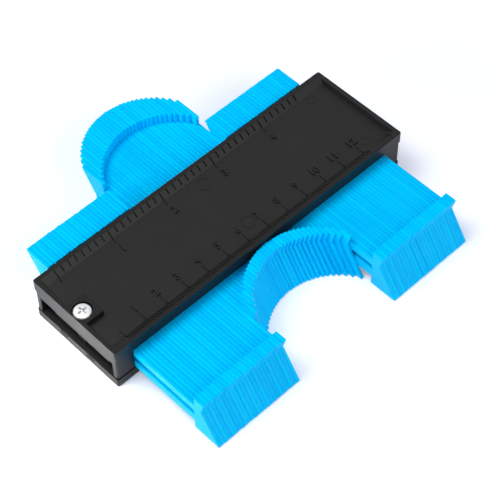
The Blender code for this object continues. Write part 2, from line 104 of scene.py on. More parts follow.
# Each ring's centre and diameter, then the width and depth of its groove
EJECTOR_RINGS = (((1.8, -11.4), 5.8), ((2.2, 13.0), 5.8), ((61.0, 14.5), 3.8), ((60.5, -14.4), 3.8))
EJECTOR_GROOVE = (0.22, 0.12)

# Ruler
INCH = 25.4
INCH_PARTS = 8
CENTIMETRE = 10
INCH_SCALE_START = 8.18
CENTIMETRE_SCALE_START = 8.78
SCALE_END_MARGIN = 15.0
# Width and depth of the grooves, then where they start and end on the slope as shares of its length
INCH_GROOVE = (0.9, 0.6)
MILLIMETRE_GROOVE = (0.44, 0.7)
INCH_PART_SPAN = (0.05, 0.75)
WHOLE_INCH_SPAN = (0.05, 0.97)
MILLIMETRE_SPAN = (0.02, 0.98)
LINE_WIDTH = 0.34
LINE_HEIGHT = 0.4
INCH_LINE = 2.1
CENTIMETRE_LINE = 3.8
CENTIMETRE_ZERO_LINE = 3.0
NUMBER_HEIGHT = 3.3
CENTIMETRE_NUMBER_Y = -12.7
INCH_NUMBER_Y = 10.3
# Shares of the type size: how much thinner the strokes are, their rise and the rounding of their edges
NUMBER_OFFSET = -0.008
NUMBER_EXTRUDE = 0.09
NUMBER_BEVEL = 0.02

# Base
FOOT_CHAMFER = 0.4
FLOOR_THICKNESS = 1.8
# Length, depth and height
LATCH_SLOT = (4.4, 1.6, 1.0)
LATCH_SLOT_LEVEL = 3.0
LATCH_SLOT_SPREAD = 14.6
RECESS_FLARE = 1.12

# Rounded edges of both shells
EDGE_ROUNDING = 0.12
SEAM_ROUNDING = 0.06
PANEL_FOOT_ROUNDING = 0.04
FOOT_ROUNDING = 0.1
PAD_ROUNDING = 0.15

# Screws and nut
SCREW_HEAD_HEIGHT = 1.9
SCREW_SHANK = 3.0
SCREW_END_CHAMFER = 0.3
SCREW_HEAD_CHAMFER = 0.15
CROWN_ROUNDING = 0.75
CROWN_STEPS = 6
CROWN_RISE = 0.12
COUNTERBORE_CLEARANCE = 0.45
COUNTERBORE_CHAMFER = 0.2
BASE_SCREW_HEAD_HEIGHT = 1.5
BASE_SCREW_SHANK = 2.5
# The underside of a base screw's head: share of its radius and height over its lowest point
BASE_SCREW_CROWN = ((0.72, 0), (0.93, 0.25), (1, 0.75))
# Arm, width and depth of the cross recesses, whose depth is negative where they are cut upwards
SCREW_CROSS = (2.1, 0.9, 1.3)
BASE_SCREW_CROSS = (1.5, 0.7, -0.9)
# Share to which the shape that cuts them narrows at its floor
CROSS_TAPER = 0.75
NUT_FACE_INSET = 0.1
NUT_CHAMFER = 0.4
PAD_LENGTH = 9.6
PAD_HALF_WIDTH = 5.4
BOSS_DIAMETER = 5.8
BASE_BOSS_DIAMETER = 5.6

# Leaves
BAR_HALF_LENGTH = 38.4
BAR_HALF_SPREAD = 4.95
SLOT_HALF_HEIGHT = 1.25
CAP_LENGTH = 4.8
CAP_EDGE = 1.1
NOTCH_LENGTH = 3.6
NOTCH_DROP = 5.4
TIP_EDGE = 0.35
BLADE_THICKNESS = 1.56
LEAF_EDGE = 0.12
# How far leaves stand out of line: the most along Y, its usual amount, upwards, and their tilt in degrees
STAGGER = 0.12
USUAL_STAGGER = 0.05
LIFT = 0.05
LEAN = 0.05
STAGGER_SEED = 81

# Shading: edges above these angles in degrees stay sharp, faces above this area in square millimetres flat
SHELL_SHARP_ANGLE = 32
SCREW_SHARP_ANGLE = 30
LEAF_SHARP_ANGLE = 50
FLAT_AREA = 3.0

# Levels and lengths inside the housing
PANEL_LEVEL = HOUSING_TOP - PANEL_DEPTH
ROOF_UNDERSIDE = PANEL_LEVEL - ROOF_THICKNESS
PASSAGE_TOP = ROOF_UNDERSIDE - RAIL_DEPTH
HALF_PASSAGE = HALF_LENGTH - END_BLOCK
SCREW_HEAD_BASE = screw_high.z - SCREW_HEAD_HEIGHT

# Camera of the photograph, fitted to the ruler's marks: millimetres and degrees
CAMERA_PLACE = (-254.37, -281.33, 492.97)
CAMERA_TURN = (37.160, 0.371, -44.071)
CAMERA_LENS = 118.48
SENSOR_WIDTH = 36
CAMERA_NEAR = 10

# Studio: the table in millimetres, its own light in metres, degrees and watts
TABLE_HALF_SIZE = 4000
TABLE_GLOW = 0.3
FILL_LEVEL = 0.26
TABLE_LIGHT_PLACE = (-0.15, 0.0, 0.12)
TABLE_LIGHT_SIZE = (0.12, 0.05)
TABLE_LIGHT_SPREAD = 35
TABLE_LIGHT_POWER = 0.13

ABS_IOR = 1.53


def colour(code):
    """An sRGB hex colour as linear RGBA."""
    channels = [int(code[start:start + 2], 16) / 255 for start in (1, 3, 5)]
    return tuple(c / 12.92 if c <= 0.04045 else ((c + 0.055) / 1.055) ** 2.4 for c in channels) + (1.0,)


def add_node(tree, kind, inputs=None, **settings):
    """Adds a node, sets its fields, and sets or links its inputs."""
    node = tree.nodes.new(kind)
    for name, value in settings.items():
        setattr(node, name, value)
    for name, value in (inputs or {}).items():
        if isinstance(value, bpy.types.NodeSocket):
            tree.links.new(value, node.inputs[name])
        else:
            node.inputs[name].default_value = value
    return node


def new_material(name):
    """A new material and its empty node tree."""
    made = bpy.data.materials.new(name)
    made.use_nodes = True
    made.node_tree.nodes.clear()
    return made, made.node_tree


def black_abs():
    """Black ABS moulded against a finely spark-eroded tool: dark, with a soft sheen at a glancing angle."""
    made, tree = new_material("spark_eroded_black_abs")
    place = add_node(tree, "ShaderNodeTexCoord").outputs["Object"]
    # The tool's grain is about 0.1 mm and is drawn three times coarser, so that it shows
    fine = add_node(tree, "ShaderNodeTexNoise", {"Vector": place, "Scale": 1 / (0.3 * MM)})
    cloud = add_node(tree, "ShaderNodeTexNoise", {"Vector": place, "Scale": 1 / (9.0 * MM)})
    roughness = add_node(tree, "ShaderNodeMapRange", {
        "Value": cloud.outputs["Fac"], "To Min": 0.36, "To Max": 0.46})
    relief = add_node(tree, "ShaderNodeBump", {
        "Strength": 0.25, "Distance": 0.02 * MM, "Height": fine.outputs["Fac"]})
    tone = add_node(tree, "ShaderNodeMix", {
        "Factor": cloud.outputs["Fac"], 6: colour("#0B0B0A"), 7: colour("#121211")}, data_type="RGBA")
    surface = add_node(tree, "ShaderNodeBsdfPrincipled", {
        "Base Color": tone.outputs[2], "Roughness": roughness.outputs[0], "IOR": ABS_IOR,
        "Normal": relief.outputs[0], "Specular IOR Level": 0.2, "Coat Weight": 0.05, "Coat Roughness": 0.4,
        "Coat Normal": relief.outputs[0]})
    add_node(tree, "ShaderNodeOutputMaterial", {"Surface": surface.outputs[0]})
    return made


def grainless_black_abs(name, tone, patch, smoothest, roughest):
    """Black ABS without the tool's grain, whose roughness wanders over patches of a size in millimetres."""
    made, tree = new_material(name)
    place = add_node(tree, "ShaderNodeTexCoord").outputs["Object"]
    patches = add_node(tree, "ShaderNodeTexNoise", {"Vector": place, "Scale": 1 / (patch * MM)})
    roughness = add_node(tree, "ShaderNodeMapRange", {
        "Value": patches.outputs["Fac"], "To Min": smoothest, "To Max": roughest})
    surface = add_node(tree, "ShaderNodeBsdfPrincipled", {
        "Base Color": colour(tone), "Roughness": roughness.outputs[0], "IOR": ABS_IOR,
        "Specular IOR Level": 0.2})
    add_node(tree, "ShaderNodeOutputMaterial", {"Surface": surface.outputs[0]})
    return made


def polished_black_abs():
    """Black ABS from a polished part of the tool, as on the land around the panel and on the screw pad."""
    return grainless_black_abs("polished_black_abs", "#0E0E0D", patch=4.0, smoothest=0.27, roughest=0.34)


def inside_black_abs():
    """Black ABS inside the shells, where the mould is left as it was milled: matt, without the sheen."""
    return grainless_black_abs("milled_mould_black_abs", "#0B0B0A", patch=1.2, smoothest=0.55, roughest=0.7)


def joint_depth(tree, place, count):
    """How deep in a joint a point of the leaf stack lies, as the strength of the painted shade there: 0 on the
    leaves, more where their edges meet.
    """
    share = add_node(tree, "ShaderNodeMath", {0: count, 1: 1.0, 2: 0.5}, operation="PINGPONG")
    joint = add_node(tree, "ShaderNodeMapRange", {
        "Value": share.outputs[0], "From Min": 0.0, "From Max": 0.13, "To Min": 0.5, "To Max": 0.0})
    facing = add_node(tree, "ShaderNodeTexCoord").outputs["Normal"]
    axes = add_node(tree, "ShaderNodeSeparateXYZ", {"Vector": facing}).outputs
    # The broad sides of a leaf have no joint
    broad = add_node(tree, "ShaderNodeMath", {0: axes["X"]}, operation="ABSOLUTE")
    narrow = add_node(tree, "ShaderNodeMath", {0: broad.outputs[0], 1: SQUARE_ON}, operation="LESS_THAN")
    # Level faces lie open to the light, so their joints are paler than those of the slopes
    level = add_node(tree, "ShaderNodeMapRange", {
        "Value": axes["Z"], "From Min": 0.75, "From Max": 0.95, "To Min": 1.0, "To Max": 0.12})
    shade = add_node(tree, "ShaderNodeMath", {0: joint.outputs[0], 1: level.outputs[0]}, operation="MULTIPLY")
    depth = add_node(tree, "ShaderNodeMath", {
        0: shade.outputs[0], 1: narrow.outputs[0]}, operation="MULTIPLY")
    return depth.outputs[0]


def cyan_abs():
    """Cyan ABS from a polished tool: bright and satin, each leaf a little lighter or darker than the next,
    with painted shade in the joints between leaves.
    """
    made, tree = new_material("moulded_cyan_abs")
    place = add_node(tree, "ShaderNodeTexCoord").outputs["Object"]
    across = add_node(tree, "ShaderNodeSeparateXYZ", {"Vector": place}).outputs["X"]
    # Half a pitch puts the steps between the leaves and not in their middles
    count = add_node(tree, "ShaderNodeMath", {
        0: across, 1: 1 / (PITCH * MM), 2: 0.5}, operation="MULTIPLY_ADD")
    leaf = add_node(tree, "ShaderNodeMath", {0: count.outputs[0]}, operation="FLOOR")
    batch = add_node(tree, "ShaderNodeTexWhiteNoise", {"W": leaf.outputs[0]}, noise_dimensions="1D")
    tone = add_node(tree, "ShaderNodeMix", {
        "Factor": batch.outputs["Value"], 6: colour("#00C6FC"), 7: colour("#00D3FF")}, data_type="RGBA")
    # Painted shade: the joints between the leaves are mixed towards a deeper blue, most on the slopes
    painted_shade_tone = add_node(tree, "ShaderNodeMix", {
        "Factor": joint_depth(tree, place, count.outputs[0]), 6: tone.outputs[2], 7: colour("#0074FF")},
        data_type="RGBA")
    flow = add_node(tree, "ShaderNodeTexNoise", {"Vector": place, "Scale": 1 / (2.5 * MM)})
    roughness = add_node(tree, "ShaderNodeMapRange", {
        "Value": flow.outputs["Fac"], "To Min": 0.34, "To Max": 0.48})
    relief = add_node(tree, "ShaderNodeBump", {
        "Strength": 0.2, "Distance": 0.02 * MM, "Height": flow.outputs["Fac"]})
    surface = add_node(tree, "ShaderNodeBsdfPrincipled", {
        "Base Color": painted_shade_tone.outputs[2], "Roughness": roughness.outputs[0], "IOR": ABS_IOR,
        "Normal": relief.outputs[0], "Specular IOR Level": 0.1, "Specular Tint": colour("#00BFF5")})
    add_node(tree, "ShaderNodeOutputMaterial", {"Surface": surface.outputs[0]})
    return made


def zinc_plated_steel():
    """Bright zinc-plated steel: pale and slightly milky, with the faint mottle of barrel plating."""
    made, tree = new_material("bright_zinc_plated_steel")
    place = add_node(tree, "ShaderNodeTexCoord").outputs["Object"]
    mottle = add_node(tree, "ShaderNodeTexNoise", {"Vector": place, "Scale": 1 / (0.6 * MM)})
    roughness = add_node(tree, "ShaderNodeMapRange", {
        "Value": mottle.outputs["Fac"], "To Min": 0.34, "To Max": 0.5})
    surface = add_node(tree, "ShaderNodeBsdfPrincipled", {
        "Base Color": colour("#D4D4D2"), "Metallic": 0.5, "Roughness": roughness.outputs[0]})
    add_node(tree, "ShaderNodeOutputMaterial", {"Surface": surface.outputs[0]})
    return made


def new_object(name, bm):
    """Turns a bmesh in millimetres into an object in metres whose faces point outwards."""
    bmesh.ops.scale(bm, verts=bm.verts, vec=(MM, MM, MM))
    bmesh.ops.recalc_face_normals(bm, faces=bm.faces)
    mesh = bpy.data.meshes.new(name)
    bm.to_mesh(mesh)
    bm.free()
    made = bpy.data.objects.new(name, mesh)
    bpy.context.collection.objects.link(made)
    return made


def finish_piece(name, bm, finish, body, slot, *nodes):
    """Turns a bmesh in millimetres into a piece that rides on a body and stands for CAD nodes."""
    piece = new_object(name, bm)
    piece.data.materials.append(finish)
    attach(piece, body)
    if nodes:
        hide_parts(*nodes)
    return piece


def span(side, start, end):
    """A range on one side of the middle, its lower end first."""
    return sorted((side * start, side * end))


def add_box(bm, low, high):
    """Adds a box between two corners and returns its vertices."""
    size = Vector(high) - Vector(low)
    middle = (Vector(high) + Vector(low)) / 2
    place = Matrix.Translation(middle) @ Matrix.Diagonal((*size, 1.0))
    return bmesh.ops.create_cube(bm, size=1.0, matrix=place)["verts"]


def add_post(bm, centre, diameter, bottom, top, segments=48):
    """Adds an upright post."""
    place = Matrix.Translation((centre[0], centre[1], (bottom + top) / 2))
    bmesh.ops.create_cone(bm, cap_ends=True, segments=segments, radius1=diameter / 2, radius2=diameter / 2,
                          depth=top - bottom, matrix=place)


def add_turned(bm, profile, centre, segments=64, closed=False):
    """Spins a profile of (radius, level) points about an upright axis. An open one begins and ends on it."""
    points = [bm.verts.new((centre[0] + radius, centre[1], level)) for radius, level in profile]
    ends = points[1:] + points[:1] if closed else points[1:]
    edges = [bm.edges.new(pair) for pair in zip(points, ends)]
    bmesh.ops.spin(bm, geom=points + edges, cent=(*centre, 0), axis=(0, 0, 1), angle=2 * math.pi,
                   steps=segments, use_merge=True)
    if not closed:
        bmesh.ops.remove_doubles(bm, verts=bm.verts, dist=0.001)


def bevel(bm, edges, width, segments=2):
    """Rounds edges."""
    bmesh.ops.bevel(bm, geom=edges, offset=width, offset_type="OFFSET", segments=segments, profile=0.5,
                    affect="EDGES", material=-1, clamp_overlap=True)


def pushed_face(bm, face, move, scale=(1, 1, 1)):
    """Extrudes a face of a closed shape, scales the new one about its middle and moves it."""
    made = bmesh.ops.extrude_discrete_faces(bm, faces=[face])["faces"][0]
    middle = made.calc_center_bounds()
    bmesh.ops.scale(bm, verts=made.verts, vec=scale, space=Matrix.Translation(-middle))
    bmesh.ops.translate(bm, verts=made.verts, vec=move)
    return made


def stepped_block(bm, steps):
    """Stacks round-cornered rectangles. Each step is half length, half width, level and edge rounding."""
    (half_x, half_y, bottom, _), (last_x, last_y, level, _) = steps[:2]
    add_box(bm, (-half_x, -half_y, bottom), (half_x, half_y, level))
    upright = [edge for edge in bm.edges if abs(edge.verts[0].co.z - edge.verts[1].co.z) > GAP]
    bevel(bm, upright, CORNER_RADIUS, segments=5)
    floor, face = sorted(bm.faces, key=lambda item: abs(item.normal.z))[-2:]
    if floor.calc_center_median().z > face.calc_center_median().z:
        floor, face = face, floor
    bmesh.ops.scale(bm, verts=face.verts, vec=(last_x / half_x, last_y / half_y, 1))
    rings = [list(floor.edges), list(face.edges)]
    for half_x, half_y, next_level, _ in steps[2:]:
        face = pushed_face(bm, face, (0, 0, next_level - level), (half_x / last_x, half_y / last_y, 1))
        rings.append(list(face.edges))
        last_x, last_y, level = half_x, half_y, next_level
    for ring, (*_, rounding) in zip(rings, steps):
        if rounding:
            bevel(bm, ring, rounding, segments=3)


def shape_with(piece, bm, operation="DIFFERENCE"):
    """Cuts, joins or trims a piece with a tool, which then goes."""
    tool = new_object("tool", bm)
    step = piece.modifiers.new("tool", "BOOLEAN")
    step.operation = operation
    step.solver = "EXACT"
    step.object = tool
    shaped = bpy.data.meshes.new_from_object(piece.evaluated_get(bpy.context.evaluated_depsgraph_get()))
    piece.modifiers.clear()
    spent = [piece.data, tool.data]
    piece.data = shaped
    shaped.name = piece.name
    bpy.data.objects.remove(tool)
    for mesh in spent:
        bpy.data.meshes.remove(mesh)


def wide(face):
    """Whether a face is too large to be part of a round surface."""
    return face.area > FLAT_AREA * MM * MM


def broad_side(face):
    """Whether a face lies on a leaf's flat side."""
    return abs(face.normal.x) >= SQUARE_ON


def smooth(piece, degrees, flat):
    """Shades a piece smooth, apart from edges above an angle and the faces for which a test holds."""
    piece.data.shade_smooth()
    piece.data.set_sharp_from_angle(angle=math.radians(degrees))
    for face in piece.data.polygons:
        if flat(face):
            face.use_smooth = False


def finish_faces(piece, chosen, finish):
    """Gives the faces for which a test of their middle and normal holds another finish."""
    piece.data.materials.append(finish)
    for face in piece.data.polygons:
        if chosen(face.center / MM, face.normal):
            face.material_index = len(piece.data.materials) - 1


def scale_marks(start, pitch):
    """The number and X of each mark of a scale, from its zero at a distance from the window end."""
    count = int((2 * HALF_LENGTH - start - SCALE_END_MARGIN) / pitch)
    for index in range(count + 1):
        yield index, -HALF_LENGTH + start + index * pitch


def add_slope_groove(bm, across, side, size, reach):
    """Adds the block that cuts a groove of a width and depth into a slope, between shares of its length."""
    land = RIM_LAND if side > 0 else FRONT_LAND
    top = Vector((across, side * (HALF_WIDTH - land), HOUSING_TOP))
    foot = Vector((across, side * (HALF_WIDTH - RIM_FOOT), PANEL_LEVEL))
    high, low = (top.lerp(foot, share) for share in reach)
    width, depth = size
    tilt = math.atan2(low.z - high.z, low.y - high.y)
    place = Matrix.Translation((high + low) / 2) @ Matrix.Rotation(tilt, 4, "X")
    place @= Matrix.Diagonal((width, (low - high).length, 2 * depth, 1.0))
    bmesh.ops.create_cube(bm, size=1.0, matrix=place)


def add_scale_line(bm, across, side, length):
    """Adds a raised line on the panel that runs inwards from the foot of a rim slope."""
    foot = HALF_WIDTH - RIM_FOOT
    near, far = span(side, foot + LINE_WIDTH, foot - length)
    made = add_box(bm, (across - LINE_WIDTH / 2, near, PANEL_LEVEL - GAP),
                   (across + LINE_WIDTH / 2, far, PANEL_LEVEL + LINE_HEIGHT))
    level = max(vert.co.z for vert in made)
    top = {edge for vert in made for edge in vert.link_edges if all(v.co.z == level for v in edge.verts)}
    bevel(bm, list(top), LINE_WIDTH / 4, segments=1)


def cut_ruler(cover):
    """Raises the long marks on the panel and cuts both scales into the rim slopes."""
    lines = bmesh.new()
    grooves = bmesh.new()
    for index, across in scale_marks(INCH_SCALE_START, INCH / INCH_PARTS):
        whole = index % INCH_PARTS == 0
        add_slope_groove(grooves, across, 1, INCH_GROOVE, WHOLE_INCH_SPAN if whole else INCH_PART_SPAN)
        if whole:
            add_scale_line(lines, across, 1, INCH_LINE)
    for index, across in scale_marks(CENTIMETRE_SCALE_START, 1):
        add_slope_groove(grooves, across, -1, MILLIMETRE_GROOVE, MILLIMETRE_SPAN)
        if index % CENTIMETRE == 0:
            add_scale_line(lines, across, -1, CENTIMETRE_LINE if index else CENTIMETRE_ZERO_LINE)
    shape_with(cover, lines, "UNION")
    shape_with(cover, grooves)


def add_number(bm, text, across, bottom):
    """Adds a raised number with thin strokes, which stands upright seen from the front."""
    font = bpy.data.curves.new("number", "FONT")
    font.body = text
    font.align_x = "CENTER"
    font.size = 1
    font.offset = NUMBER_OFFSET
    font.extrude = NUMBER_EXTRUDE
    font.bevel_depth = NUMBER_BEVEL
    font.resolution_u = 4
    writer = bpy.data.objects.new("number", font)
    bpy.context.collection.objects.link(writer)
    mesh = bpy.data.meshes.new_from_object(writer.evaluated_get(bpy.context.evaluated_depsgraph_get()))
    bpy.data.objects.remove(writer)
    bpy.data.curves.remove(font)
    height = max(vert.co.y for vert in mesh.vertices) - min(vert.co.y for vert in mesh.vertices)
    size = NUMBER_HEIGHT / height
    mesh.transform(Matrix.Translation((across, bottom, PANEL_LEVEL)) @ Matrix.Scale(size, 4))
    bm.from_mesh(mesh)
    bpy.data.meshes.remove(mesh)


def make_numbers(finish):
    """Raised numbers on the panel, 1 to 12 for the centimetres and 1 to 4 for the inches."""
    scales = (("centimetre_numbers", CENTIMETRE_SCALE_START, CENTIMETRE, CENTIMETRE_NUMBER_Y),
              ("inch_numbers", INCH_SCALE_START, INCH, INCH_NUMBER_Y))
    for name, start, pitch, bottom in scales:
        bm = bmesh.new()
        for index, across in scale_marks(start, pitch):
            if index:
                add_number(bm, str(index), across, bottom)
        finish_piece(name, bm, finish, "housing", "black_abs")


def rail_pockets():
    """The Y ranges between the long rails that the leaf bars slide on, the same in both shells."""
    pitch = (2 * HALF_WIDTH - RAIL_WIDTH) / (RAIL_COUNT - 1)
    for index in range(RAIL_COUNT - 1):
        start = -HALF_WIDTH + RAIL_WIDTH + index * pitch
        yield start, start + pitch - RAIL_WIDTH


def base_screw_places():
    """The centres of the two base screws."""
    return [(BASE_SCREW_X, side * BASE_SCREW_Y) for side in (-1, 1)]


def cover_block(finish):
    """The cover's outside: walls below a proud lip, the land around the top, and the sunk panel."""
    lip_level = HOUSING_TOP - LIP_HEIGHT
    wall_x, wall_y = HALF_LENGTH - LIP_PROUD, HALF_WIDTH - LIP_PROUD
    bm = bmesh.new()
    stepped_block(bm, [
        (wall_x, wall_y, COVER_BOTTOM, SEAM_ROUNDING),
        (wall_x, wall_y, lip_level, 0),
        (HALF_LENGTH, HALF_WIDTH, lip_level, EDGE_ROUNDING),
        (HALF_LENGTH, HALF_WIDTH, HOUSING_TOP, EDGE_ROUNDING),
        (HALF_LENGTH - END_LAND, HALF_WIDTH - RIM_LAND, HOUSING_TOP, EDGE_ROUNDING),
        (HALF_LENGTH - END_FOOT, HALF_WIDTH - RIM_FOOT, PANEL_LEVEL, PANEL_FOOT_ROUNDING),
    ])
    # The land is narrower along the centimetre scale than along the inches
    inner_x, inner_y = HALF_LENGTH - END_LAND + GAP, HALF_WIDTH - RIM_LAND + GAP
    for vert in bm.verts:
        if vert.co.z > HOUSING_TOP - GAP and abs(vert.co.x) < inner_x and -inner_y < vert.co.y < 0:
            vert.co.y += FRONT_LAND - RIM_LAND
    return finish_piece("ruled_cover", bm, finish, "housing", "black_abs", "upper_cover")


def add_pad(cover):
    """Raises the pad around the tension screw."""
    bm = bmesh.new()
    add_box(bm, (-HALF_LENGTH + END_LAND / 2, -PAD_HALF_WIDTH, PANEL_LEVEL - ROOF_THICKNESS / 2),
            (-HALF_LENGTH + PAD_LENGTH, PAD_HALF_WIDTH, HOUSING_TOP))
    top = [edge for edge in bm.edges if all(vert.co.z > HOUSING_TOP - GAP for vert in edge.verts)]
    bevel(bm, top, PAD_ROUNDING)
    shape_with(cover, bm, "UNION")


def cut_ejector_rings(cover):
    """Cuts the shallow rings that the ejector pins left in the panel."""
    width, depth = EJECTOR_GROOVE
    bm = bmesh.new()
    for centre, diameter in EJECTOR_RINGS:
        outer, inner = diameter / 2, diameter / 2 - width
        low, high = PANEL_LEVEL - depth, PANEL_LEVEL + depth
        groove = [(inner, low), (outer, low), (outer, high), (inner, high)]
        add_turned(bm, groove, centre, segments=40, closed=True)
    shape_with(cover, bm)


def cut_passage(cover):
    """Cuts the leaves' passage and the pockets between its rails."""
    bm = bmesh.new()
    add_box(bm, (-HALF_PASSAGE, -HALF_WIDTH - CLEAR, COVER_BOTTOM - CLEAR),
            (HALF_PASSAGE, HALF_WIDTH + CLEAR, PASSAGE_TOP))
    shape_with(cover, bm)
    bm = bmesh.new()
    for start, end in rail_pockets():
        add_box(bm, (-HALF_PASSAGE + PARTITION, start, PASSAGE_TOP - GAP),
                (HALF_PASSAGE - PARTITION, end, ROOF_UNDERSIDE))
    shape_with(cover, bm)


def hollow_ends(cover):
    """Hollows both ends and leaves the screws' bosses in them."""
    bosses = {-1: [((SCREW_X, 0), BOSS_DIAMETER)],
              1: [(centre, BASE_BOSS_DIAMETER) for centre in base_screw_places()]}
    for side in (-1, 1):
        near, far = span(side, HALF_LENGTH - END_WALL, HALF_PASSAGE + PARTITION)
        bm = bmesh.new()
        add_box(bm, (near, -HALF_WIDTH + SIDE_WALL, COVER_BOTTOM - CLEAR),
                (far, HALF_WIDTH - SIDE_WALL, PASSAGE_TOP))
        shape_with(cover, bm)
        bm = bmesh.new()
        for centre, diameter in bosses[side]:
            add_post(bm, centre, diameter, COVER_BOTTOM, ROOF_UNDERSIDE)
        shape_with(cover, bm, "UNION")


def cut_window(cover):
    """Cuts the stepped window into the end wall, its mouth a little flared."""
    half = HALF_WIDTH - SIDE_WALL
    lintel = PASSAGE_TOP - WINDOW_LINTEL
    for low_y, high_y, top in ((-half, half, lintel - WINDOW_STEP),
                               (-half, -half + WINDOW_FRONT_STEP, lintel),
                               (half - WINDOW_REAR_STEP, half, lintel)):
        bm = bmesh.new()
        add_box(bm, (-HALF_LENGTH + MOUTH_FLARE + LIP_PROUD, low_y, COVER_BOTTOM - CLEAR),
                (-HALF_LENGTH + END_WALL + GAP, high_y, top))
        mouth = min(bm.faces, key=lambda face: face.calc_center_median().x)
        width, height = high_y - low_y, top - COVER_BOTTOM + CLEAR
        flare = 1 + 4 * MOUTH_FLARE / width, 1 + 4 * MOUTH_FLARE / height
        pushed_face(bm, mouth, (-2 * MOUTH_FLARE, 0, 0), (1, *flare))
        shape_with(cover, bm)


def cut_bar_notches(cover):
    """Notches both partitions for the guide bar."""
    half = (bar_high.y - bar_low.y) / 2 + GAP
    bm = bmesh.new()
    for side in (-1, 1):
        near, far = span(side, HALF_PASSAGE - GAP, HALF_PASSAGE + PARTITION)
        add_box(bm, (near, -half, COVER_BOTTOM - CLEAR), (far, half, bar_high.z + GAP))
    shape_with(cover, bm)


def cut_screw_bores(cover):
    """Sinks the chamfered counterbore for the tension screw's head and drills for all three screws."""
    bore = screw_high.x - screw_low.x + 2 * COUNTERBORE_CLEARANCE
    flare = 1 + 4 * COUNTERBORE_CHAMFER / bore
    bm = bmesh.new()
    add_post(bm, (SCREW_X, 0), bore, SCREW_HEAD_BASE - GAP, HOUSING_TOP - COUNTERBORE_CHAMFER, segments=64)
    mouth = max(bm.faces, key=lambda face: face.calc_center_median().z)
    pushed_face(bm, mouth, (0, 0, 2 * COUNTERBORE_CHAMFER), (flare, flare, 1))
    shape_with(cover, bm)
    bm = bmesh.new()
    add_post(bm, (SCREW_X, 0), SCREW_SHANK + 2 * GAP, COVER_BOTTOM - CLEAR, HOUSING_TOP)
    for centre in base_screw_places():
        add_post(bm, centre, BASE_SCREW_SHANK + 2 * GAP, COVER_BOTTOM - CLEAR, base_screw_high.z + 2 * GAP)
    shape_with(cover, bm)


def make_cover(finish, inside_finish, polished):
    """The ruled cover: its block, and all that is raised on it and cut into it."""
    cover = cover_block(finish)
    add_pad(cover)
    cut_ruler(cover)
    cut_ejector_rings(cover)
    cut_passage(cover)
    hollow_ends(cover)
    cut_window(cover)
    cut_bar_notches(cover)
    cut_screw_bores(cover)
    smooth(cover, SHELL_SHARP_ANGLE, wide)

    def inside(middle, _):
        within_walls = (abs(middle.x) < HALF_LENGTH - END_WALL + GAP
                        and abs(middle.y) < HALF_WIDTH - SIDE_WALL + GAP)
        return within_walls and middle.z < PANEL_LEVEL - GAP

    def on_land(middle, normal):
        return middle.z > HOUSING_TOP - GAP and normal.z > SQUARE_ON

    finish_faces(cover, inside, inside_finish)
    finish_faces(cover, on_land, polished)


def cut_screw_recesses(base):
    """Cuts the nut's pocket, the recesses for the base screws' heads, their flared mouths, and the bores."""
    bm = bmesh.new()
    corner = (nut_high.x - nut_low.x + 2 * GAP) / math.cos(math.pi / 6)
    add_post(bm, (SCREW_X, 0), corner, MOUTH_FLARE, nut_high.z + GAP, segments=6)
    for centre in base_screw_places():
        add_post(bm, centre, 2 * (base_screw_high.x - BASE_SCREW_X + GAP), MOUTH_FLARE,
                 base_screw_low.z + BASE_SCREW_HEAD_HEIGHT + GAP)
    for mouth in [face for face in bm.faces if face.normal.z < -SQUARE_ON]:
        pushed_face(bm, mouth, (0, 0, -2 * MOUTH_FLARE), (RECESS_FLARE, RECESS_FLARE, 1))
    shape_with(base, bm)
    bm = bmesh.new()
    add_post(bm, (SCREW_X, 0), SCREW_SHANK + 2 * GAP, -CLEAR, BASE_TOP + CLEAR)
    for centre in base_screw_places():
        add_post(bm, centre, BASE_SCREW_SHANK + 2 * GAP, -CLEAR, BASE_TOP + CLEAR)
    shape_with(base, bm)


def cut_latch_slots(base):
    """Cuts the two slots at the window end."""
    bm = bmesh.new()
    length, depth, height = LATCH_SLOT
    for side in (-1, 1):
        middle = side * LATCH_SLOT_SPREAD / 2
        add_box(bm, (-HALF_LENGTH - CLEAR, middle - length / 2, LATCH_SLOT_LEVEL - height / 2),
                (-HALF_LENGTH + depth, middle + length / 2, LATCH_SLOT_LEVEL + height / 2))
    shape_with(base, bm)


def make_base(finish, inside_finish):
    """The base: a chamfered foot, saddles for the guide bar, rails, screw recesses and latch slots."""
    bm = bmesh.new()
    stepped_block(bm, [
        (HALF_LENGTH - FOOT_CHAMFER, HALF_WIDTH - FOOT_CHAMFER, 0, FOOT_ROUNDING),
        (HALF_LENGTH, HALF_WIDTH, FOOT_CHAMFER, FOOT_ROUNDING),
        (HALF_LENGTH, HALF_WIDTH, BASE_TOP, SEAM_ROUNDING),
    ])
    base = finish_piece("base_shell", bm, finish, "housing", "black_abs", "base_plate")
    bm = bmesh.new()
    for side in (-1, 1):
        near, far = span(side, HALF_PASSAGE + GAP / 2, HALF_PASSAGE + PARTITION - GAP)
        add_box(bm, (near, bar_low.y, FLOOR_THICKNESS), (far, bar_high.y, bar_low.z - GAP))
    shape_with(base, bm, "UNION")
    bm = bmesh.new()
    for start, end in rail_pockets():
        add_box(bm, (-HALF_PASSAGE + PARTITION, start, FLOOR_THICKNESS),
                (HALF_PASSAGE - PARTITION, end, BASE_TOP + CLEAR))
    shape_with(base, bm)
    cut_screw_recesses(base)
    cut_latch_slots(base)
    smooth(base, SHELL_SHARP_ANGLE, wide)

    def inside(middle, _):
        within_walls = abs(middle.x) < HALF_LENGTH - GAP and abs(middle.y) < HALF_WIDTH - GAP
        return within_walls and middle.z > FLOOR_THICKNESS - GAP

    finish_faces(base, inside, inside_finish)


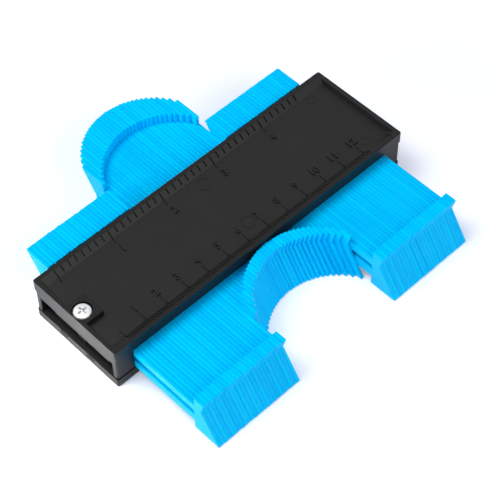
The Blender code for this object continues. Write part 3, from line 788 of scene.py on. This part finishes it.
def leaf_blank():
    """One leaf about its middle: two bars with a slot between them and a wedge head at each end."""
    head = LEAF_HALF_LENGTH - BAR_HALF_LENGTH - STAGGER
    top = LEAF_HALF_HEIGHT
    outline = [(0, BAR_HALF_SPREAD), (0, top), (CAP_LENGTH, top), (CAP_LENGTH, top - CAP_EDGE),
               (NOTCH_LENGTH, top - NOTCH_DROP), (head, TIP_EDGE - top), (head, -top), (0, -top),
               (0, -BAR_HALF_SPREAD), (0, -SLOT_HALF_HEIGHT), (0, SLOT_HALF_HEIGHT)]
    bm = bmesh.new()
    ends = []
    for side in (-1, 1):
        ring = [bm.verts.new((0, side * (BAR_HALF_LENGTH + out), -side * up)) for out, up in outline]
        bm.faces.new(ring)
        ends.append(ring)
    front, rear = ends
    bm.faces.new((front[0], front[-1], rear[-2], rear[-3]))
    bm.faces.new((front[-2], front[-3], rear[0], rear[-1]))
    bmesh.ops.recalc_face_normals(bm, faces=bm.faces)
    grown = bmesh.ops.extrude_face_region(bm, geom=list(bm.faces))["geom"]
    bmesh.ops.translate(bm, verts=[item for item in grown if isinstance(item, bmesh.types.BMVert)],
                        vec=(BLADE_THICKNESS, 0, 0))
    bmesh.ops.translate(bm, verts=bm.verts, vec=(-BLADE_THICKNESS / 2, 0, 0))
    bmesh.ops.recalc_face_normals(bm, faces=bm.faces)

    outer = [edge for edge in bm.edges if abs(edge.verts[0].co.x - edge.verts[1].co.x) < GAP
             and any(abs(face.normal.x) > SQUARE_ON for face in edge.link_faces)]
    bevel(bm, outer, LEAF_EDGE, segments=1)
    return bm


def make_leaves(finish):
    """Every leaf in its place. Each stands a little out of line with its neighbours, as pressed leaves do."""
    blank = leaf_blank()
    blank_mesh = bpy.data.meshes.new("leaf_blank")
    blank.to_mesh(blank_mesh)
    blank.free()
    chance = random.Random(STAGGER_SEED)
    number = 0
    # The leaf nodes are called leaf_NN, or leaves_NN_to_NN where one holds several
    nodes = [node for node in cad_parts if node.startswith("lea")]
    for node in sorted(nodes, key=lambda name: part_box(name)[0].x):
        low, high = (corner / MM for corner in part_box(node))
        count = round((high.x - low.x - LEAF_THICKNESS) / PITCH) + 1
        for index in range(count):
            number += 1
            across = low.x + LEAF_THICKNESS / 2 + index * PITCH
            slip = max(-STAGGER, min(STAGGER, chance.gauss(0, USUAL_STAGGER)))
            along = (low.y + high.y) / 2 + slip
            lift = chance.uniform(-LIFT, LIFT)
            lean = math.radians(chance.uniform(-LEAN, LEAN))
            bm = bmesh.new()
            bm.from_mesh(blank_mesh)
            place = Matrix.Translation((across, along, LEAF_CENTRE + lift)) @ Matrix.Rotation(lean, 4, "X")
            bmesh.ops.transform(bm, matrix=place, verts=bm.verts)
            piece = finish_piece(f"leaf_{number:02d}_blade", bm, finish, node, "cyan_abs", node)
            smooth(piece, LEAF_SHARP_ANGLE, broad_side)
    bpy.data.meshes.remove(blank_mesh)


def cut_cross(piece, centre, level, arm, width, depth):
    """Cuts a tapered cross recess down from a level, or up where the depth is negative."""
    for turn in (0, math.pi / 2):
        bm = bmesh.new()
        made = add_box(bm, (-arm, -width / 2, -1), (arm, width / 2, 0.5))
        floor = [vert for vert in made if vert.co.z < 0]
        bmesh.ops.scale(bm, verts=floor, vec=(CROSS_TAPER, CROSS_TAPER, 1))
        place = Matrix.Translation((*centre, level)) @ Matrix.Rotation(turn, 4, "Z")
        place @= Matrix.Diagonal((1, 1, depth, 1))
        bmesh.ops.transform(bm, matrix=place, verts=bm.verts)
        shape_with(piece, bm)


def make_tension_screw(finish):
    """The tension screw: plain shank, flat head with a rounded crown, and a cross recess."""
    radius, shank, top = (screw_high.x - screw_low.x) / 2, SCREW_SHANK / 2, screw_high.z
    angles = [step / CROWN_STEPS * math.pi / 2 for step in range(CROWN_STEPS + 1)]
    crown = [(radius - CROWN_ROUNDING * (1 - math.cos(angle)),
              top - CROWN_RISE - CROWN_ROUNDING * (1 - math.sin(angle))) for angle in angles]
    bm = bmesh.new()
    add_turned(bm, [(0, screw_low.z), (shank - SCREW_END_CHAMFER, screw_low.z),
                    (shank, screw_low.z + SCREW_END_CHAMFER), (shank, SCREW_HEAD_BASE),
                    (radius - SCREW_HEAD_CHAMFER, SCREW_HEAD_BASE),
                    (radius, SCREW_HEAD_BASE + SCREW_HEAD_CHAMFER), *crown, (0, top)], (SCREW_X, 0))
    screw = finish_piece("cross_head_screw", bm, finish, "tension_screw", "plated_steel", "tension_screw")
    cut_cross(screw, (SCREW_X, 0), top, *SCREW_CROSS)
    smooth(screw, SCREW_SHARP_ANGLE, wide)


def make_base_screws(finish):
    """The two screws that hold the base, heads down."""
    radius, shank = (base_screw_high.x - base_screw_low.x) / 2, BASE_SCREW_SHANK / 2
    low, high = base_screw_low.z, base_screw_high.z
    head_top = low + BASE_SCREW_HEAD_HEIGHT
    crown = [(radius * share, low + rise) for share, rise in BASE_SCREW_CROWN]
    for name, centre in zip(("base_screw_front", "base_screw_rear"), base_screw_places()):
        bm = bmesh.new()
        add_turned(bm, [(0, low), *crown, (radius, head_top), (shank, head_top), (shank, high - shank),
                        (0, high)], centre, segments=48)
        screw = finish_piece(name + "_turned", bm, finish, "housing", "plated_steel", name)
        cut_cross(screw, centre, low, *BASE_SCREW_CROSS)
        smooth(screw, SCREW_SHARP_ANGLE, wide)


def make_nut(finish):
    """The tension screw's nut, with chamfered corners and a bore."""
    flats = nut_high.x - nut_low.x
    corner = flats / 2 / math.cos(math.pi / 6)
    face = flats / 2 - NUT_FACE_INSET
    bm = bmesh.new()
    add_post(bm, (SCREW_X, 0), flats / math.cos(math.pi / 6), nut_low.z, nut_high.z, segments=6)
    nut = finish_piece("hexagon_nut", bm, finish, "housing", "plated_steel", "tension_nut")
    bm = bmesh.new()
    add_turned(bm, [(0, nut_low.z), (face, nut_low.z), (corner, nut_low.z + NUT_CHAMFER),
                    (corner, nut_high.z - NUT_CHAMFER), (face, nut_high.z), (0, nut_high.z)], (SCREW_X, 0))
    shape_with(nut, bm, "INTERSECT")
    bm = bmesh.new()
    middle = (nut_low.z + nut_high.z) / 2
    add_post(bm, (SCREW_X, 0), SCREW_SHANK + GAP, middle - CLEAR, middle + CLEAR)
    shape_with(nut, bm)
    smooth(nut, SCREW_SHARP_ANGLE, wide)


def seen_share(tree, path):
    """1 for rays that show the background, straight or in a gloss, and 0 for those that light the gauge."""
    sharp = add_node(tree, "ShaderNodeMath", {
        0: path.outputs["Is Glossy Ray"], 1: path.outputs["Is Transmission Ray"]}, operation="ADD")
    share = add_node(tree, "ShaderNodeMath", {
        0: sharp.outputs[0], 1: path.outputs["Is Camera Ray"]}, operation="ADD", use_clamp=True)
    return share.outputs[0]


def make_table():
    """A white table, lifted to white where it is seen and not where it lights the gauge."""
    made, tree = new_material("white_table")
    path = add_node(tree, "ShaderNodeLightPath")
    paper = add_node(tree, "ShaderNodeBsdfDiffuse", {"Color": colour("#F1EEEE")})
    glow = add_node(tree, "ShaderNodeEmission", {"Color": colour("#FFFFFF"), "Strength": TABLE_GLOW})
    lifted = add_node(tree, "ShaderNodeAddShader", {0: paper.outputs[0], 1: glow.outputs[0]})
    seen = add_node(tree, "ShaderNodeMixShader", {
        0: seen_share(tree, path), 1: paper.outputs[0], 2: lifted.outputs[0]})
    add_node(tree, "ShaderNodeOutputMaterial", {"Surface": seen.outputs[0]})
    bm = bmesh.new()
    bmesh.ops.create_grid(bm, x_segments=1, y_segments=1, size=TABLE_HALF_SIZE)
    table = new_object("table", bm)
    table.data.materials.append(made)


def make_world():
    """A white surround where it is seen, which lights the gauge with a soft, bluish fill."""
    world = bpy.data.worlds.new("white_studio")
    bpy.context.scene.world = world
    world.use_nodes = True
    tree = world.node_tree
    tree.nodes.clear()
    path = add_node(tree, "ShaderNodeLightPath")
    strength = add_node(tree, "ShaderNodeMapRange", {
        "Value": seen_share(tree, path), "To Min": FILL_LEVEL, "To Max": 1})
    tint = add_node(tree, "ShaderNodeMix", {
        "Factor": path.outputs["Is Diffuse Ray"], 6: colour("#FFFFFF"), 7: colour("#7CB0FF")},
        data_type="RGBA")
    sky = add_node(tree, "ShaderNodeBackground", {"Color": tint.outputs[2], "Strength": strength.outputs[0]})
    add_node(tree, "ShaderNodeOutputWorld", {"Surface": sky.outputs[0]})


def soft_light(name, place, size, level):
    """A square soft light in metres, aimed at the gauge, which gives a surface facing it a share of white."""
    data = bpy.data.lights.new(name, "AREA")
    data.shape = "SQUARE"
    data.size = size
    data.energy = level * math.pi ** 2 * Vector(place).length ** 2
    light = bpy.data.objects.new(name, data)
    light.location = place
    light.rotation_euler = Vector(place).to_track_quat("Z", "Y").to_euler()
    bpy.context.collection.objects.link(light)
    return light


def make_lights():
    """Soft lights from the left, above and the front, and one for the table."""
    left = soft_light("left_softbox", place=(-1.2, 0.1, 0.25), size=0.4, level=0.42)
    left.visible_glossy = False
    soft_light("overhead_softbox", place=(-0.42, 0.42, 1.15), size=0.7, level=0.68)
    soft_light("front_softbox", place=(0.15, -0.95, 0.6), size=0.9, level=0.52)

    # Lights only the table left of the gauge, which throws it back on the end with the window
    lamp = bpy.data.lights.new("table_light", "AREA")
    lamp.shape = "RECTANGLE"
    lamp.size, lamp.size_y = TABLE_LIGHT_SIZE
    lamp.spread = math.radians(TABLE_LIGHT_SPREAD)
    lamp.energy = TABLE_LIGHT_POWER
    light = bpy.data.objects.new("table_light", lamp)
    light.location = TABLE_LIGHT_PLACE
    light.visible_camera = False
    bpy.context.collection.objects.link(light)


def make_camera():
    """The photograph's camera."""
    data = bpy.data.cameras.new("camera")
    data.lens = CAMERA_LENS
    data.sensor_width = SENSOR_WIDTH
    data.clip_start = CAMERA_NEAR * MM
    camera = bpy.data.objects.new("camera", data)
    camera.location = Vector(CAMERA_PLACE) * MM
    camera.rotation_euler = [math.radians(angle) for angle in CAMERA_TURN]
    bpy.context.collection.objects.link(camera)
    bpy.context.scene.camera = camera
    bpy.context.scene.view_settings.view_transform = "Standard"


def main():
    black, inside_black, polished = black_abs(), inside_black_abs(), polished_black_abs()
    cyan, steel = cyan_abs(), zinc_plated_steel()
    make_table()
    make_world()
    make_lights()
    make_camera()
    make_cover(black, inside_black, polished)
    make_base(black, inside_black)
    make_numbers(black)
    make_leaves(cyan)
    make_tension_screw(steel)
    make_base_screws(steel)
    make_nut(steel)
    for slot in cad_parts["guide_bar"].material_slots:
        slot.material = steel


main()
